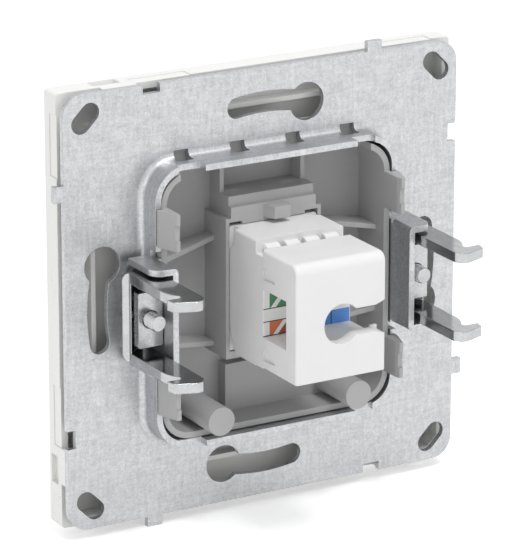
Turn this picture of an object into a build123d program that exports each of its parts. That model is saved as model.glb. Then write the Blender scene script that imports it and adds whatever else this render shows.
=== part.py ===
from build123d import *
import math
import os

# Flush-mounted data socket, seen from the wall side.
# Frame: Z up, the front of the socket faces -Y, the wall box is towards +Y.
# The origin is the centre of the support plate's rear face. Millimetres.
# Mirror-image places are given by their distance from the centre plane, +X side first.

# Support plate: one pressed sheet with its collar and claw guides
SHEET = 1.0
PLATE_SIDE = 71.0
PLATE_CORNER_R = 3.5
FIXING_SPACING = 60.0
FIXING_SLOT_WIDTH = 3.4
FIXING_KEY_R = 3.1
FIXING_KEY_ANGLE = 14.7
FIXING_TAIL_ANGLE = 9.6
CORNER_SLOT_PLACE = 31.6
CORNER_SLOT_WIDTH = 3.2
CORNER_SLOT_LENGTH = 5.5
EDGE_PLACE = 20.1
TAB_WIDTH = 2.6
TAB_REACH = 1.7
NOTCH_WIDTH = 3.0
NOTCH_DEPTH = 1.45

# Collar round the opening, bent back out of the plate
OPENING_HALF_W = 20.9
OPENING_HALF_H = 22.1
COLLAR_CORNER_R = 5.5
BEND_R = 1.0
BEND_TRIM = 0.05
COLLAR_REACH = 4.3
LIP_REACH = 5.6
LIP_HALF_W = 13.7
LIP_STEP_HALF_W = 17.7
LIP_STEP_REACH = 3.6
BEND_WINDOW_WIDTH = 2.6
BEND_WINDOW_PITCH = 10.0
BEND_WINDOW_REACH = 1.9
BEND_WINDOW_RISE = 0.2

# Claw guides, one channel on each side of the collar
GUIDE_HALF_H = 8.7
GUIDE_REACH = 9.8
GUIDE_FLANGE_WIDTH = 4.3
GUIDE_FLANGE_FRONT = 1.4
GUIDE_CORNER_R = 2.0
GUIDE_RELIEF = 1.2
GUIDE_RELIEF_DEPTH = 1.8
GUIDE_BEND_R = 0.9

# Claw screws, nuts and claws, placed outwards from the collar's outer face
SCREW_OUT = 2.2
SCREW_R = 1.42
SCREW_HOLE_GAP = 0.18
SCREW_END = 9.2
SCREW_HEAD_R = 2.8
SCREW_HEAD_HEIGHT = 1.6
SCREW_SLOT_WIDTH = 0.7
SCREW_SLOT_DEPTH = 0.7
SCREW_SEAT_GAP = 0.1
NUT_THREAD_GAP = 0.05
NUT_THICKNESS = 1.6
NUT_REAR = 6.65
NUT_HALF_H = 4.5
NUT_OUT = 4.4
NUT_GUIDE_GAP = 0.15
CLAW_SHEET = 1.6
CLAW_HALF_H = 7.3
CLAW_BEND_R = 1.4
CLAW_ARM_IN = 0.6
CLAW_ARM_OUT = 4.8
CLAW_WEB_GAP = 0.32
CLAW_FOOT = 0.6
CLAW_FOOT_IN = 0.4
CLAW_SLOT_GAP = 0.33
CLAW_SLOT_END = 4.0
CLAW_NECK_START = 14.5
CLAW_NECK_Y = 18.9
CLAW_NECK_X = 3.5
CLAW_NECK_BULGE = 0.42
CLAW_NECK_R = 0.6
CLAW_NECK_STEP_X = 0.15
CLAW_NECK_STEP_Y = 0.05
CLAW_HOOK_X = 6.1
CLAW_HOOK_RISE = 0.1
CLAW_HOOK_SLOPE = 0.3
CLAW_REAR = 21.9
CLAW_TIP_CHAMFER = 1.3
CLAW_TIP_IN = 2.4
CLAW_TOE_IN = 1.4
CLAW_TOE_DROP = 0.2

# Insert carrier: a tub that clips into the collar from the front
CARRIER_GAP = 0.2
CARRIER_CORNER_R = 5.1
CARRIER_WALL = 1.0
CARRIER_RIM = 3.9
CARRIER_TOP_RIM = 0.4
CARRIER_FLOOR = -4.0
CARRIER_FLOOR_THICKNESS = 0.8
CARRIER_FLANGE_LAP = 3.7
CARRIER_FLANGE_THICKNESS = 1.1
CARRIER_FLANGE_GAP = 0.05
CARRIER_HEAD_GAP = 0.5
TONGUE_NEAR = 10.8
TONGUE_FAR = 16.7
TONGUE_REACH = 8.7
TONGUE_TIP_DRAFT = 0.1
TONGUE_BARB_LAP = 0.9
TONGUE_SEAT_GAP = 0.15
TONGUE_TIP_NOTCH = 2.5
TONGUE_TIP_NOTCH_DEPTH = 0.35
TONGUE_ROOT = 1.0
TONGUE_TIP_CHAMFER = 0.25
POST_PLACE_X = 12.56
POST_PLACE_Z = -18.37
POST_R = 2.35
POST_REACH = 8.3
POST_BORE_R = 1.3
POST_BORE_END = 2.0
HOLDER_WALL = 0.65
HOLDER_TOP = 12.7
HOLDER_BOTTOM = -10.4
HOLDER_REACH = 2.83
HOLDER_SLIT_WIDTH = 2.3
HOLDER_SLIT_HEIGHT = 0.5
HEADER_HALF_W = 7.7
HEADER_TOP = 16.1
HEADER_STEP = 14.5
HEADER_STEP_REACH = 2.0
HEADER_CHEEK = 0.75
HEADER_CHEEK_REACH = -0.76
CATCH_HALF_W = 1.85
CATCH_TOP = 14.2
CATCH_BOTTOM = 12.2
CATCH_REACH = 5.0
CATCH_SLOPE = 0.8
WEB_RIB = 0.8
WEB_RIB_OUTER_Z = 6.85
WEB_RIB_OUTER_Y = 1.5
WEB_RIB_INNER_Z = 8.9
WEB_RIB_INNER_Y = -1.1
WEB_RIB_ROOT = 0.3
SILL_LEFT = 6.2
SILL_TOP = -13.0
SILL_REACH = -1.8

# Front cover
COVER_SIDE = 70.0
COVER_CORNER_R = 2.0
COVER_FRONT = -6.1
COVER_REAR = -2.3
COVER_FACE = 1.1
COVER_WALL = 1.3
COVER_EDGE_R = 0.5
COVER_WINDOW_GAP = 0.2
COVER_GRIP_DEPTH = 0.5
COVER_GRIP_REACH = 2.2
COVER_GRIP_LENGTH = 10.0
COVER_GRIP_PLACES = (27.0, -17.0)
COVER_FOOT_PLACE = -25.0
COVER_FOOT_LENGTH = 6.0
COVER_FOOT_WIDTH = 1.3
COVER_LEVER_LENGTH = 4.7
COVER_LEVER_DEPTH = 0.8
COVER_LEVER_SHIFT = 1.1
COVER_RIB = 0.8
COVER_RING_HALF = 29.0
COVER_SPOKE_PLACE = 16.0
COVER_RIB_REACH = -3.1
COVER_PEG_GAP = 0.05
COVER_PEG_END = -0.5

# Data jack body
JACK_FACE_HALF_W = 7.25
JACK_FACE_HALF_H = 8.05
JACK_FACE = -6.0
JACK_SHOULDER = -3.8
JACK_HALF_W = 7.9
JACK_TOP = 11.5
JACK_BOTTOM = -9.05
JACK_BAND_REAR = 10.9
JACK_REAR = 13.1
JACK_REAR_TOP = 9.3
JACK_REAR_BOTTOM = -8.9
JACK_SIDE_RELIEF = 0.8
JACK_SIDE_TOP = 9.3
JACK_SIDE_TOP_REAR = 4.3
JACK_SIDE_BOTTOM_REAR = 4.9
JACK_SIDE_FRONT = 2.6
JACK_SIDE_SLOPE = 1.9
JACK_WALL = 0.9
JACK_BACK_WALL_FRONT = 9.2
JACK_HOLDER_GAP = 0.1
WIRE_PITCH = 3.53
WIRE_SLOT_WIDTH = 1.3
WIRE_SLOT_INNER = 5.4
WIRE_SLOT_FLOOR = 11.0
WIRE_MOUTH_WIDTH = 2.9
WIRE_MOUTH_DEPTH = 1.0
WIRE_NOSE_WIDTH = 2.5
WIRE_NOSE_BOTTOM = 9.75
WIRE_NOSE_TOP = 10.6
WIRE_NOSE_REACH = 1.4

# Port insert, circuit board and contacts inside the jack
INSERT_GAP = 0.1
INSERT_REAR = 7.4
PORT_CENTRE_Z = -0.6
PORT_WIDTH = 11.8
PORT_HEIGHT = 6.8
PORT_END = 6.4
PORT_KEY_WIDTH = 6.2
PORT_KEY_DEPTH = 1.6
PORT_CLIP_WIDTH = 3.3
PORT_CLIP_DEPTH = 0.8
SPRING_PITCH = 1.02
SPRING_WIDTH = 0.4
SPRING_THICKNESS = 0.35
SPRING_BED_Z = 3.6
SPRING_FRONT = -3.2
SPRING_BEND_R = 0.55
SPRING_END_Y = 2.6
SPRING_END_Z = 1.05
SPRING_POCKET_HALF_W = 5.0
SPRING_POCKET_TOP = 5.6
SPRING_POCKET_FRONT = -4.2
SPRING_BLOCK_FRONT = -2.0
SPRING_BLOCK_GAP = 0.06
BOARD_THICKNESS = 1.2
BOARD_GAP = 0.1
PIN_STICK_OUT = 0.25
PIN_HOLE_GAP = 0.03
FORK_PLACE_Z = 6.1
FORK_THICKNESS = 0.4
FORK_WIDTH = 2.4
FORK_END = 12.7
FORK_SLIT = 0.35
FORK_SLIT_FLOOR = 10.4
FORK_MOUTH = 0.8
FORK_PIN_WIDTH = 0.6
FORK_POCKET_GAP = 0.06

# Wire cap and the wiring label that shows through its window
CAP_SIDE_LAP = 0.1
CAP_TOP = 10.6
CAP_BOTTOM = -8.6
CAP_SEAT_GAP = 0.15
CAP_REAR = 23.6
CAP_WALL = 1.15
CAP_REAR_WALL = 2.2
CAP_CREST_R = 1.6
CAP_EDGE_R = 0.5
CABLE_PLACE_X = -0.2
CABLE_PLACE_Z = 0.15
CABLE_R = 3.25
CABLE_SLOT_HALF = 2.15
CABLE_SLOT_FLARE = 0.7
CABLE_SLOT_FLARE_LENGTH = 1.8
CABLE_SLOT_OVERRUN = 0.1
WINDOW_TOP = 4.2
WINDOW_BOTTOM = -3.7
WINDOW_END = 20.4
CHANNEL_WALL = 1.3
LATCH_RECESS_DEPTH = 0.4
LATCH_RECESS_PLACES = (5.7, -7.5)
# Each recess: (distance behind the cap's front, height above its base)
LATCH_RECESS_OUTLINE = ((0.2, 1.9), (1.2, 1.9), (1.6, 0.9), (3.6, 0.6), (3.6, 0.2), (0.2, 0))
BLADE_WIDTH = 0.9
BLADE_FRONT = 11.3
BLADE_REAR = 16.0
BLADE_INNER = 6.9
BLADE_JACK_GAP = 0.4
LABEL_THICKNESS = 0.1
LABEL_EDGE = 0.1
LABEL_TOP = 4.1
LABEL_BOTTOM = -5.2

# Worked out from the sizes above
PLATE_HALF = PLATE_SIDE / 2
COLLAR_HALF_W = OPENING_HALF_W + SHEET
COLLAR_HALF_H = OPENING_HALF_H + SHEET
GUIDE_FLANGE_OUT = OPENING_HALF_W + GUIDE_FLANGE_WIDTH
SCREW_PLACE = COLLAR_HALF_W + SCREW_OUT
SCREW_HOLE_R = SCREW_R + SCREW_HOLE_GAP
CLAW_SLOT_HALF = SCREW_R + CLAW_SLOT_GAP
CARRIER_HALF_W = OPENING_HALF_W - CARRIER_GAP
CARRIER_HALF_H = OPENING_HALF_H - CARRIER_GAP
TUB_HALF_W = CARRIER_HALF_W - CARRIER_WALL
TUB_HALF_H = CARRIER_HALF_H - CARRIER_WALL
CARRIER_FRONT = CARRIER_FLOOR - CARRIER_FLOOR_THICKNESS
HOLDER_IN = JACK_HALF_W + JACK_HOLDER_GAP
NUT_FRONT = NUT_REAR - NUT_THICKNESS
# The claw's web lies at 45 degrees: these are its faces, as the place outwards less Y
WEB_REAR = NUT_OUT - NUT_FRONT + CLAW_WEB_GAP * math.sqrt(2)
WEB_FRONT = WEB_REAR + CLAW_SHEET * math.sqrt(2)
INSERT_HALF_W = JACK_FACE_HALF_W - JACK_WALL - INSERT_GAP
INSERT_HALF_H = JACK_FACE_HALF_H - JACK_WALL - INSERT_GAP
BOARD_FRONT = INSERT_REAR + BOARD_GAP
BOARD_REAR = BOARD_FRONT + BOARD_THICKNESS
CAP_FRONT = JACK_REAR + CAP_SEAT_GAP
CAP_HALF_W = JACK_HALF_W + CAP_SIDE_LAP
WIRE_PLACES = [WIRE_PITCH * (index - 1.5) for index in range(4)]
SPRING_PLACES = [SPRING_PITCH * (index - 3.5) for index in range(8)]
CLEAR = 0.5

SIDES = ((1, "left"), (-1, "right"))


def from_behind(y):
    """Drafting plane at depth y as a viewer behind the socket sees it: -X to the right, Z up, normal +Y."""
    return Plane(origin=(0, y, 0), x_dir=(-1, 0, 0), z_dir=(0, 1, 0))


def beside_collar(side, z):
    """Level drafting plane at height z whose X starts at the collar's outer face on one side."""
    return Plane(origin=(side * COLLAR_HALF_W, 0, z), x_dir=(1, 0, 0), z_dir=(0, 0, 1))


def finish(part, label):
    """Name the piece and write it to its own file."""
    part.label = label
    export_step(part, f"parts/{label}.step")


def quarter_turns():
    """The four places of a pattern that repeats round the plate's centre."""
    return [Location((0, 0, 0), (0, 0, 90 * turn)) for turn in range(4)]


os.makedirs("parts", exist_ok=True)

# Support plate
with BuildPart() as support_plate:
    with BuildSketch(from_behind(-SHEET)):
        RectangleRounded(PLATE_SIDE, PLATE_SIDE, PLATE_CORNER_R)
        with Locations(*quarter_turns()):
            with Locations((EDGE_PLACE, PLATE_HALF)):
                Rectangle(TAB_WIDTH, 2 * TAB_REACH)
            with Locations((-EDGE_PLACE, PLATE_HALF)):
                Rectangle(NOTCH_WIDTH, 2 * NOTCH_DEPTH, mode=Mode.SUBTRACT)
            with Locations(Location((CORNER_SLOT_PLACE, CORNER_SLOT_PLACE, 0), (0, 0, 135))):
                SlotOverall(CORNER_SLOT_LENGTH, CORNER_SLOT_WIDTH, mode=Mode.SUBTRACT)
        RectangleRounded(2 * OPENING_HALF_W, 2 * OPENING_HALF_H, COLLAR_CORNER_R - SHEET, mode=Mode.SUBTRACT)
    extrude(amount=SHEET)

    # Collar, then its bend radii on both faces of the sheet
    with BuildSketch(from_behind(-SHEET)):
        RectangleRounded(2 * COLLAR_HALF_W, 2 * COLLAR_HALF_H, COLLAR_CORNER_R)
        RectangleRounded(2 * OPENING_HALF_W, 2 * OPENING_HALF_H, COLLAR_CORNER_R - SHEET, mode=Mode.SUBTRACT)
    extrude(amount=COLLAR_REACH + SHEET)
    rear_root = (
        support_plate.edges()
        .filter_by_position(Axis.Y, -0.01, 0.01)
        .filter_by(lambda edge: abs(edge.center().X) < COLLAR_HALF_W + 0.01)
        .filter_by(lambda edge: abs(edge.center().Z) < COLLAR_HALF_H + 0.01)
    )
    fillet(rear_root, BEND_R)
    front_mouth = (
        support_plate.edges()
        .filter_by_position(Axis.Y, -SHEET - 0.01, -SHEET + 0.01)
        .filter_by(lambda edge: abs(edge.center().X) < OPENING_HALF_W + 0.01)
        .filter_by(lambda edge: abs(edge.center().Z) < OPENING_HALF_H + 0.01)
    )
    fillet(front_mouth, BEND_R + SHEET - BEND_TRIM)

    # Longer lips at the top and bottom, with a lower step at each end
    wall_centre = OPENING_HALF_H + SHEET / 2
    with BuildSketch(from_behind(COLLAR_REACH)):
        with Locations((0, wall_centre), (0, -wall_centre)):
            Rectangle(2 * LIP_HALF_W, SHEET)
    extrude(amount=LIP_REACH - COLLAR_REACH)
    step_centre = (LIP_HALF_W + LIP_STEP_HALF_W) / 2
    with BuildSketch(from_behind(LIP_STEP_REACH)):
        with Locations(*[(u, v) for u in (-step_centre, step_centre) for v in (-wall_centre, wall_centre)]):
            Rectangle(LIP_STEP_HALF_W - LIP_HALF_W, 2 * SHEET)
    extrude(amount=LIP_REACH, mode=Mode.SUBTRACT)

    # Windows through the bend at the top and bottom
    with BuildSketch(from_behind(-SHEET - CLEAR)):
        window_height = SHEET + BEND_R + BEND_WINDOW_RISE
        window_centre = OPENING_HALF_H + window_height / 2
        with Locations((0, window_centre), (0, -window_centre)):
            with GridLocations(BEND_WINDOW_PITCH, 1, 4, 1):
                Rectangle(BEND_WINDOW_WIDTH, window_height)
    extrude(amount=BEND_WINDOW_REACH + SHEET + CLEAR, mode=Mode.SUBTRACT)

    # Curved keyhole slots for the box screws
    fixing_r = FIXING_SPACING / 2
    with BuildSketch(from_behind(-SHEET)):
        for turn in range(4):
            key_angle = 90 * turn + 90 - FIXING_KEY_ANGLE
            sweep = FIXING_KEY_ANGLE + FIXING_TAIL_ANGLE
            with BuildLine(mode=Mode.PRIVATE) as slot_arc:
                CenterArc((0, 0), fixing_r, key_angle, sweep)
            SlotArc(slot_arc.edge(), FIXING_SLOT_WIDTH)
            with PolarLocations(fixing_r, 1, key_angle):
                Circle(FIXING_KEY_R)
    extrude(amount=SHEET, mode=Mode.SUBTRACT)

    # Claw guides: a taller piece of collar wall with its ends turned outwards
    for side, hand in SIDES:
        with BuildSketch(Plane.XY.offset(-GUIDE_HALF_H)):
            with BuildLine():
                Polyline(
                    (side * OPENING_HALF_W, COLLAR_REACH - CLEAR),
                    (side * OPENING_HALF_W, GUIDE_REACH),
                    (side * COLLAR_HALF_W, GUIDE_REACH),
                    (side * COLLAR_HALF_W, COLLAR_REACH - CLEAR),
                    close=True,
                )
            make_face()
        extrude(amount=2 * GUIDE_HALF_H)
        for flange_z in (-GUIDE_HALF_H, GUIDE_HALF_H - SHEET):
            with BuildSketch(Plane.XY.offset(flange_z)):
                with Locations((side * (OPENING_HALF_W + GUIDE_FLANGE_OUT) / 2, (GUIDE_FLANGE_FRONT + GUIDE_REACH) / 2)):
                    outline = Rectangle(GUIDE_FLANGE_OUT - OPENING_HALF_W, GUIDE_REACH - GUIDE_FLANGE_FRONT)
                fillet(outline.vertices().group_by(Axis.Y)[-1].sort_by(Axis.X)[-1 if side > 0 else 0], GUIDE_CORNER_R)
            extrude(amount=SHEET)
        guide_bend = (
            support_plate.edges()
            .filter_by(Axis.Y)
            .filter_by_position(Axis.X, side * OPENING_HALF_W - 0.01, side * OPENING_HALF_W + 0.01)
            .filter_by(lambda edge: abs(abs(edge.center().Z) - GUIDE_HALF_H) < 0.01 and edge.center().Y > COLLAR_REACH)
        )
        fillet(guide_bend, GUIDE_BEND_R)

    # Reliefs beside the guides, where the collar wall meets the taller piece
    relief_centre = GUIDE_HALF_H + GUIDE_RELIEF / 2
    with BuildSketch(from_behind(COLLAR_REACH - GUIDE_RELIEF_DEPTH)):
        with Locations(*[(u, v) for u in (-COLLAR_HALF_W, COLLAR_HALF_W) for v in (-relief_centre, relief_centre)]):
            Rectangle(4 * SHEET, GUIDE_RELIEF)
    extrude(amount=GUIDE_RELIEF_DEPTH + CLEAR, mode=Mode.SUBTRACT)

    # Holes for the claw screws
    with BuildSketch(from_behind(-SHEET)):
        with Locations((-SCREW_PLACE, 0), (SCREW_PLACE, 0)):
            Circle(SCREW_HOLE_R)
    extrude(amount=SHEET, mode=Mode.SUBTRACT)
finish(support_plate.part, "support_plate")

# Claw screws, nuts and claws, one set on each side
for side, hand in SIDES:
    with BuildPart() as claw_screw:
        head_rear = -SHEET - SCREW_SEAT_GAP
        head_front = head_rear - SCREW_HEAD_HEIGHT
        with BuildSketch(from_behind(head_front)):
            with Locations((-side * SCREW_PLACE, 0)):
                Circle(SCREW_HEAD_R)
        extrude(amount=SCREW_HEAD_HEIGHT)
        fillet(claw_screw.edges().group_by(Axis.Y)[0], SCREW_HEAD_HEIGHT / 3)
        with BuildSketch(from_behind(head_rear)):
            with Locations((-side * SCREW_PLACE, 0)):
                Circle(SCREW_R)
        extrude(amount=SCREW_END - head_rear)
        chamfer(claw_screw.edges().group_by(Axis.Y)[-1], SCREW_R / 5)
        with BuildSketch(from_behind(head_front)):
            with Locations((-side * SCREW_PLACE, 0)):
                Rectangle(2 * SCREW_HEAD_R, SCREW_SLOT_WIDTH)
        extrude(amount=SCREW_SLOT_DEPTH, mode=Mode.SUBTRACT)
    finish(claw_screw.part, f"claw_screw_{hand}")

    with BuildPart() as clamp_nut:
        nut_centre = COLLAR_HALF_W + (NUT_GUIDE_GAP + NUT_OUT) / 2
        with BuildSketch(from_behind(NUT_FRONT)):
            with Locations((-side * nut_centre, 0)):
                RectangleRounded(NUT_OUT - NUT_GUIDE_GAP, 2 * NUT_HALF_H, SHEET / 3)
            with Locations((-side * SCREW_PLACE, 0)):
                Circle(SCREW_R + NUT_THREAD_GAP, mode=Mode.SUBTRACT)
        extrude(amount=NUT_THICKNESS)
    finish(clamp_nut.part, f"clamp_nut_{hand}")

    with BuildPart() as claw:
        # Plan of the bent strip: inclined web in front, arm and hook behind it
        hook_front = CLAW_NECK_Y + CLAW_HOOK_RISE
        with BuildSketch(beside_collar(side, -CLAW_HALF_H)):
            with BuildLine():
                Polyline(
                    (side * CLAW_NECK_X, CLAW_NECK_Y - CLAW_NECK_R),
                    (side * (CLAW_NECK_X + CLAW_NECK_STEP_X), CLAW_NECK_Y - CLAW_NECK_STEP_Y),
                    (side * (CLAW_NECK_X + CLAW_NECK_R), hook_front),
                    (side * CLAW_HOOK_X, hook_front),
                    (side * (CLAW_HOOK_X - CLAW_HOOK_SLOPE), CLAW_REAR - CLAW_TIP_CHAMFER),
                    (side * CLAW_TIP_IN, CLAW_REAR),
                    (side * CLAW_TOE_IN, CLAW_REAR - CLAW_TOE_DROP),
                    (side * CLAW_ARM_IN, CLAW_REAR - CLAW_TIP_CHAMFER),
                    (side * CLAW_ARM_IN, CLAW_ARM_IN - WEB_REAR),
                    (side * CLAW_FOOT_IN, CLAW_FOOT),
                    (side * (CLAW_FOOT + WEB_FRONT), CLAW_FOOT),
                    (side * (CLAW_ARM_OUT + CLAW_SHEET / 2), CLAW_ARM_OUT + CLAW_SHEET / 2 - WEB_FRONT),
                    (side * CLAW_ARM_OUT, CLAW_ARM_OUT + CLAW_SHEET - WEB_FRONT),
                    (side * CLAW_ARM_OUT, CLAW_NECK_START),
                )
                ThreePointArc(
                    (side * CLAW_ARM_OUT, CLAW_NECK_START),
                    (side * (CLAW_ARM_OUT - CLAW_NECK_BULGE), (CLAW_NECK_START + CLAW_NECK_Y) / 2),
                    (side * CLAW_NECK_X, CLAW_NECK_Y - CLAW_NECK_R),
                )
            make_face()
        extrude(amount=2 * CLAW_HALF_H)

        # Bends along the top and bottom of the web
        def on_web_front(edge):
            middle = edge.center()
            outwards = side * middle.X - COLLAR_HALF_W
            return abs(outwards - middle.Y - WEB_FRONT) < 0.01 and abs(abs(middle.Z) - CLAW_HALF_H) < 0.01

        fillet(claw.edges().filter_by(on_web_front), CLAW_BEND_R)

        # The space between the arms, behind the web
        inner_half = CLAW_HALF_H - CLAW_SHEET
        deep = CLAW_REAR + CLEAR
        with BuildSketch(beside_collar(side, -inner_half)):
            with BuildLine():
                Polyline(
                    (side * (CLAW_FOOT_IN - CLEAR), CLAW_FOOT_IN - CLEAR - WEB_REAR),
                    (side * (CLAW_HOOK_X + CLEAR), CLAW_HOOK_X + CLEAR - WEB_REAR),
                    (side * (CLAW_HOOK_X + CLEAR), deep),
                    (side * (CLAW_FOOT_IN - CLEAR), deep),
                    close=True,
                )
            make_face()
        extrude(amount=2 * inner_half, mode=Mode.SUBTRACT)

        # Open slot that lets the web slide past the screw
        with BuildSketch(from_behind(-CLEAR)):
            slot_centre = COLLAR_HALF_W + CLAW_SLOT_END - CLAW_SLOT_HALF
            with Locations((-side * slot_centre, 0)):
                Circle(CLAW_SLOT_HALF)
            with Locations((-side * (slot_centre - CLAW_SLOT_HALF), 0)):
                Rectangle(2 * CLAW_SLOT_HALF, 2 * CLAW_SLOT_HALF)
        extrude(amount=NUT_FRONT + 2 * CLEAR, mode=Mode.SUBTRACT)
    finish(claw.part, f"claw_{hand}")

# Insert carrier
with BuildPart() as insert_carrier:
    # Tub with its floor, open to the rear
    with BuildSketch(from_behind(CARRIER_FRONT)):
        RectangleRounded(2 * CARRIER_HALF_W, 2 * CARRIER_HALF_H, CARRIER_CORNER_R)
    extrude(amount=CARRIER_RIM - CARRIER_FRONT)
    with BuildSketch(from_behind(CARRIER_FLOOR)):
        RectangleRounded(2 * TUB_HALF_W, 2 * TUB_HALF_H, CARRIER_CORNER_R - CARRIER_WALL)
    extrude(amount=CARRIER_RIM - CARRIER_FLOOR, mode=Mode.SUBTRACT)
    with BuildSketch(from_behind(CARRIER_TOP_RIM)):
        with Locations((0, CARRIER_HALF_H)):
            Rectangle(2 * LIP_STEP_HALF_W - BEND_R, 4 * CARRIER_WALL)
    extrude(amount=CARRIER_RIM - CARRIER_TOP_RIM, mode=Mode.SUBTRACT)

    # Flange that bears on the front of the plate, cut back round the screw heads
    flange_rear = -SHEET - CARRIER_FLANGE_GAP
    with BuildSketch(from_behind(flange_rear - CARRIER_FLANGE_THICKNESS)):
        RectangleRounded(
            2 * (OPENING_HALF_W + CARRIER_FLANGE_LAP),
            2 * (OPENING_HALF_H + CARRIER_FLANGE_LAP),
            COLLAR_CORNER_R,
        )
        RectangleRounded(2 * TUB_HALF_W, 2 * TUB_HALF_H, CARRIER_CORNER_R - CARRIER_WALL, mode=Mode.SUBTRACT)
        with Locations((-SCREW_PLACE, 0), (SCREW_PLACE, 0)):
            Circle(SCREW_HEAD_R + CARRIER_HEAD_GAP, mode=Mode.SUBTRACT)
        with Locations((-SCREW_PLACE - SCREW_HEAD_R, 0), (SCREW_PLACE + SCREW_HEAD_R, 0)):
            Rectangle(2 * SCREW_HEAD_R, 2 * (SCREW_HEAD_R + CARRIER_HEAD_GAP), mode=Mode.SUBTRACT)
    extrude(amount=CARRIER_FLANGE_THICKNESS)

    # Four tongues that clip over the collar's rear edge
    barb_seat = COLLAR_REACH + TONGUE_SEAT_GAP
    barb_out = OPENING_HALF_W + TONGUE_BARB_LAP
    for side, hand in SIDES:
        for low in (TONGUE_NEAR, -TONGUE_FAR):
            with BuildSketch(Plane.XY.offset(low)):
                with BuildLine():
                    Polyline(
                        (side * TUB_HALF_W, CARRIER_RIM - TONGUE_ROOT),
                        (side * CARRIER_HALF_W, CARRIER_RIM - TONGUE_ROOT),
                        (side * CARRIER_HALF_W, barb_seat),
                        (side * barb_out, barb_seat),
                        (side * barb_out, barb_seat + CLEAR),
                        (side * (CARRIER_HALF_W - TONGUE_TIP_DRAFT), TONGUE_REACH),
                        (side * (TUB_HALF_W + TONGUE_TIP_CHAMFER), TONGUE_REACH),
                        (side * TUB_HALF_W, TONGUE_REACH - TONGUE_ROOT),
                        close=True,
                    )
                make_face()
            extrude(amount=TONGUE_FAR - TONGUE_NEAR)
    tongue_middle = (TONGUE_NEAR + TONGUE_FAR) / 2
    with BuildSketch(from_behind(TONGUE_REACH - TONGUE_TIP_NOTCH_DEPTH)):
        with Locations(*[(u, v) for u in (-CARRIER_HALF_W, CARRIER_HALF_W) for v in (-tongue_middle, tongue_middle)]):
            Rectangle(4 * CARRIER_WALL, TONGUE_TIP_NOTCH)
    extrude(amount=TONGUE_TIP_NOTCH_DEPTH, mode=Mode.SUBTRACT)

    # Holder walls round the jack
    holder_height = HOLDER_TOP - HOLDER_BOTTOM
    with BuildSketch(from_behind(CARRIER_FLOOR)):
        with Locations((0, (HOLDER_TOP + HOLDER_BOTTOM) / 2)):
            Rectangle(2 * (HOLDER_IN + HOLDER_WALL), holder_height)
    extrude(amount=HOLDER_REACH - CARRIER_FLOOR)

    # Header above the jack, stepped back towards its top, between two cheeks
    with BuildSketch(from_behind(CARRIER_FLOOR)):
        with Locations((0, (HOLDER_TOP + HEADER_STEP) / 2)):
            Rectangle(2 * HEADER_HALF_W, HEADER_STEP - HOLDER_TOP)
    extrude(amount=HOLDER_REACH - CARRIER_FLOOR)
    with BuildSketch(from_behind(CARRIER_FLOOR)):
        with Locations((0, (HEADER_STEP + HEADER_TOP) / 2)):
            Rectangle(2 * HEADER_HALF_W, HEADER_TOP - HEADER_STEP)
    extrude(amount=HEADER_STEP_REACH - CARRIER_FLOOR)
    cheek_centre = HEADER_HALF_W - HEADER_CHEEK / 2
    with BuildSketch(from_behind(CARRIER_FLOOR)):
        with Locations((-cheek_centre, (HEADER_TOP + TUB_HALF_H) / 2), (cheek_centre, (HEADER_TOP + TUB_HALF_H) / 2)):
            Rectangle(HEADER_CHEEK, TUB_HALF_H - HEADER_TOP)
    extrude(amount=HEADER_CHEEK_REACH - CARRIER_FLOOR)
    with BuildSketch(Plane.XY.offset(CATCH_BOTTOM)):
        with BuildLine():
            Polyline(
                (-CATCH_HALF_W, HOLDER_REACH - WEB_RIB_ROOT),
                (-CATCH_HALF_W, CATCH_REACH),
                (CATCH_HALF_W - CATCH_SLOPE, CATCH_REACH),
                (CATCH_HALF_W, HOLDER_REACH),
                (CATCH_HALF_W, HOLDER_REACH - WEB_RIB_ROOT),
                close=True,
            )
        make_face()
    extrude(amount=CATCH_TOP - CATCH_BOTTOM)

    # Sill under the jack, from its left step across to the right post
    with BuildSketch(from_behind(CARRIER_FLOOR)):
        with Locations(((POST_PLACE_X - SILL_LEFT) / 2, (SILL_TOP - TUB_HALF_H) / 2)):
            Rectangle(POST_PLACE_X + SILL_LEFT, SILL_TOP + TUB_HALF_H)
    extrude(amount=SILL_REACH - CARRIER_FLOOR)

    # Webs from the side walls to the holder, their rear edges sloping down to it
    for side, hand in SIDES:
        for up in (1, -1):
            run = side * (TUB_HALF_W - HOLDER_IN)
            rise = up * (WEB_RIB_OUTER_Z - WEB_RIB_INNER_Z)
            length = math.hypot(run, rise)
            web_plane = Plane(
                origin=(side * HOLDER_IN, CARRIER_FLOOR, up * WEB_RIB_INNER_Z),
                x_dir=(run, 0, rise),
                z_dir=(-rise, 0, run),
            )
            with BuildSketch(web_plane):
                with BuildLine():
                    Polyline(
                        (WEB_RIB_ROOT, 0),
                        (length + WEB_RIB_ROOT, 0),
                        (length + WEB_RIB_ROOT, WEB_RIB_OUTER_Y - CARRIER_FLOOR),
                        (WEB_RIB_ROOT, WEB_RIB_INNER_Y - CARRIER_FLOOR),
                        close=True,
                    )
                make_face()
            extrude(amount=WEB_RIB / 2, both=True)

    # Two posts at the bottom, bored from the front for the cover's pegs
    with BuildSketch(from_behind(CARRIER_FLOOR)):
        with Locations((-POST_PLACE_X, POST_PLACE_Z), (POST_PLACE_X, POST_PLACE_Z)):
            Circle(POST_R)
    extrude(amount=POST_REACH - CARRIER_FLOOR)
    with BuildSketch(from_behind(CARRIER_FRONT)):
        with Locations((-POST_PLACE_X, POST_PLACE_Z), (POST_PLACE_X, POST_PLACE_Z)):
            Circle(POST_BORE_R)
    extrude(amount=POST_BORE_END - CARRIER_FRONT, mode=Mode.SUBTRACT)

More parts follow.
